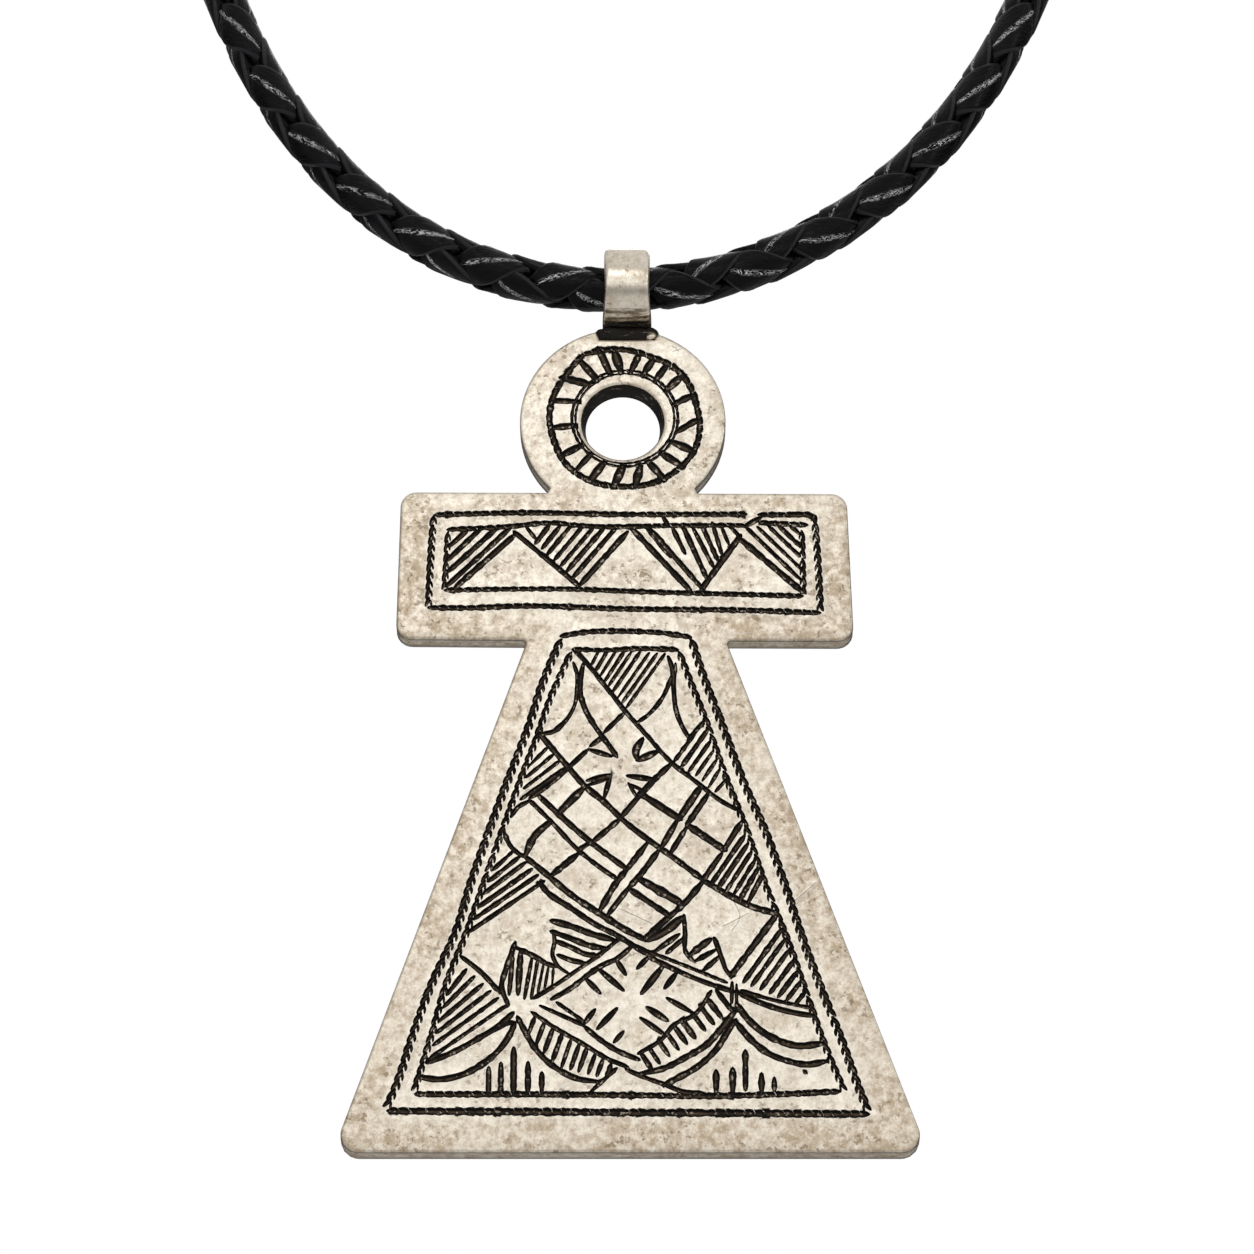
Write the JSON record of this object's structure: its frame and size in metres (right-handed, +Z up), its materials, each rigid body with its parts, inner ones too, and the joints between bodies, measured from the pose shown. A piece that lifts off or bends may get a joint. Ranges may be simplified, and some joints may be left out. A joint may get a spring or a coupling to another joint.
{
  "type": "tuareg pendant on a braided cord",
  "caption": "Flat engraved silver pendant of disc, cross bar and flared plate, swinging from a soldered bail on a loop of braided black leather cord with a plain clasp.",
  "frame": {"origin": "middle of the neck opening of the worn necklace, about halfway between the nape and the lowest point of the cord", "axes": "+Z up, -Y towards the front where the pendant hangs, +X towards the wearer's left"},
  "size_m": [0.1217, 0.1105, 0.2255],
  "materials": {
    "pendant": "satin silver, worn and tarnished",
    "cord": "glossy black leather",
    "clasp": "satin silver"
  },
  "bodies": {
    "cord": {"strand_1": "cord", "strand_2": "cord", "strand_3": "cord", "strand_4": "cord", "clasp": "clasp"},
    "pendant": {"pendant": "pendant"}
  },
  "joints": [
    {"name": "pendant_swing", "type": "hinge", "parent": "cord", "child": "pendant", "pos_m": [0, -0.0515, -0.0905], "axis": [1, 0, 0], "range_deg": [-90, 90]}
  ]
}
